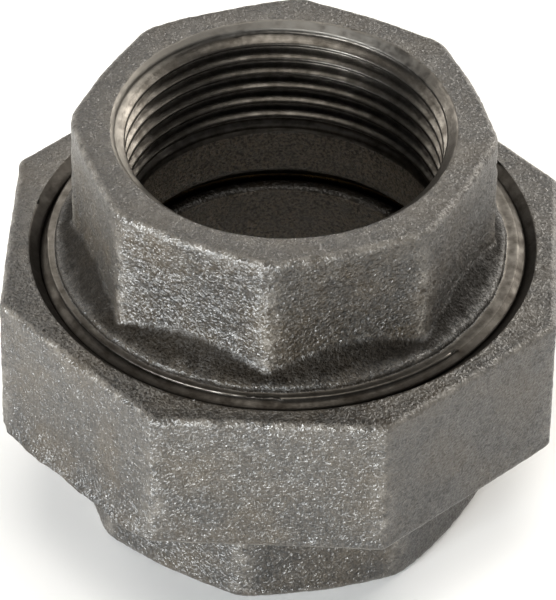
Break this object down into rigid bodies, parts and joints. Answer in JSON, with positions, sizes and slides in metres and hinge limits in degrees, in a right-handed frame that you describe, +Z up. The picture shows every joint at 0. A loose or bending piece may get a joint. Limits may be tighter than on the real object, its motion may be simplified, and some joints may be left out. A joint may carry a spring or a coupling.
{
  "type": "pipe union",
  "caption": "Octagonal pipe union that joins two threaded pipes: a captive union nut draws a threaded end onto a ball-nosed tail piece with a pressed-in seat.",
  "frame": {"origin": "on the union's axis, at the tail piece's bottom face", "axes": "+Z up along the axis, from the tail piece to the threaded end; the tail piece's octagon has flats square to X and Y"},
  "size_m": [0.0734, 0.0734, 0.0552],
  "materials": {
    "threaded_end_iron": "black oxide on rough sand-cast malleable iron, bare machined threads",
    "union_nut_iron": "black oxide on rough sand-cast malleable iron, bare machined thread",
    "tail_piece_iron": "black oxide on rough sand-cast malleable iron, machined nose and thread",
    "seat_brass": "turned brass"
  },
  "bodies": {
    "tail": {"tail_piece": "tail_piece_iron"},
    "nut": {"union_nut": "union_nut_iron"},
    "threaded": {"threaded_end": "threaded_end_iron", "seat_ring": "seat_brass"}
  },
  "joints": [
    {"name": "nut_turn", "type": "hinge", "parent": "tail", "child": "nut", "pos_m": [0, 0, 0.0187], "axis": [0, 0, -1], "range_deg": [0, 1440]},
    {"name": "end_draw", "type": "slide", "parent": "tail", "child": "threaded", "axis": [0, 0, 1], "range_m": [0, 0.00925]}
  ],
  "couplings": [
    {"joint": "end_draw", "follows": "nut_turn", "m_per_rad": 0.00036749}
  ]
}
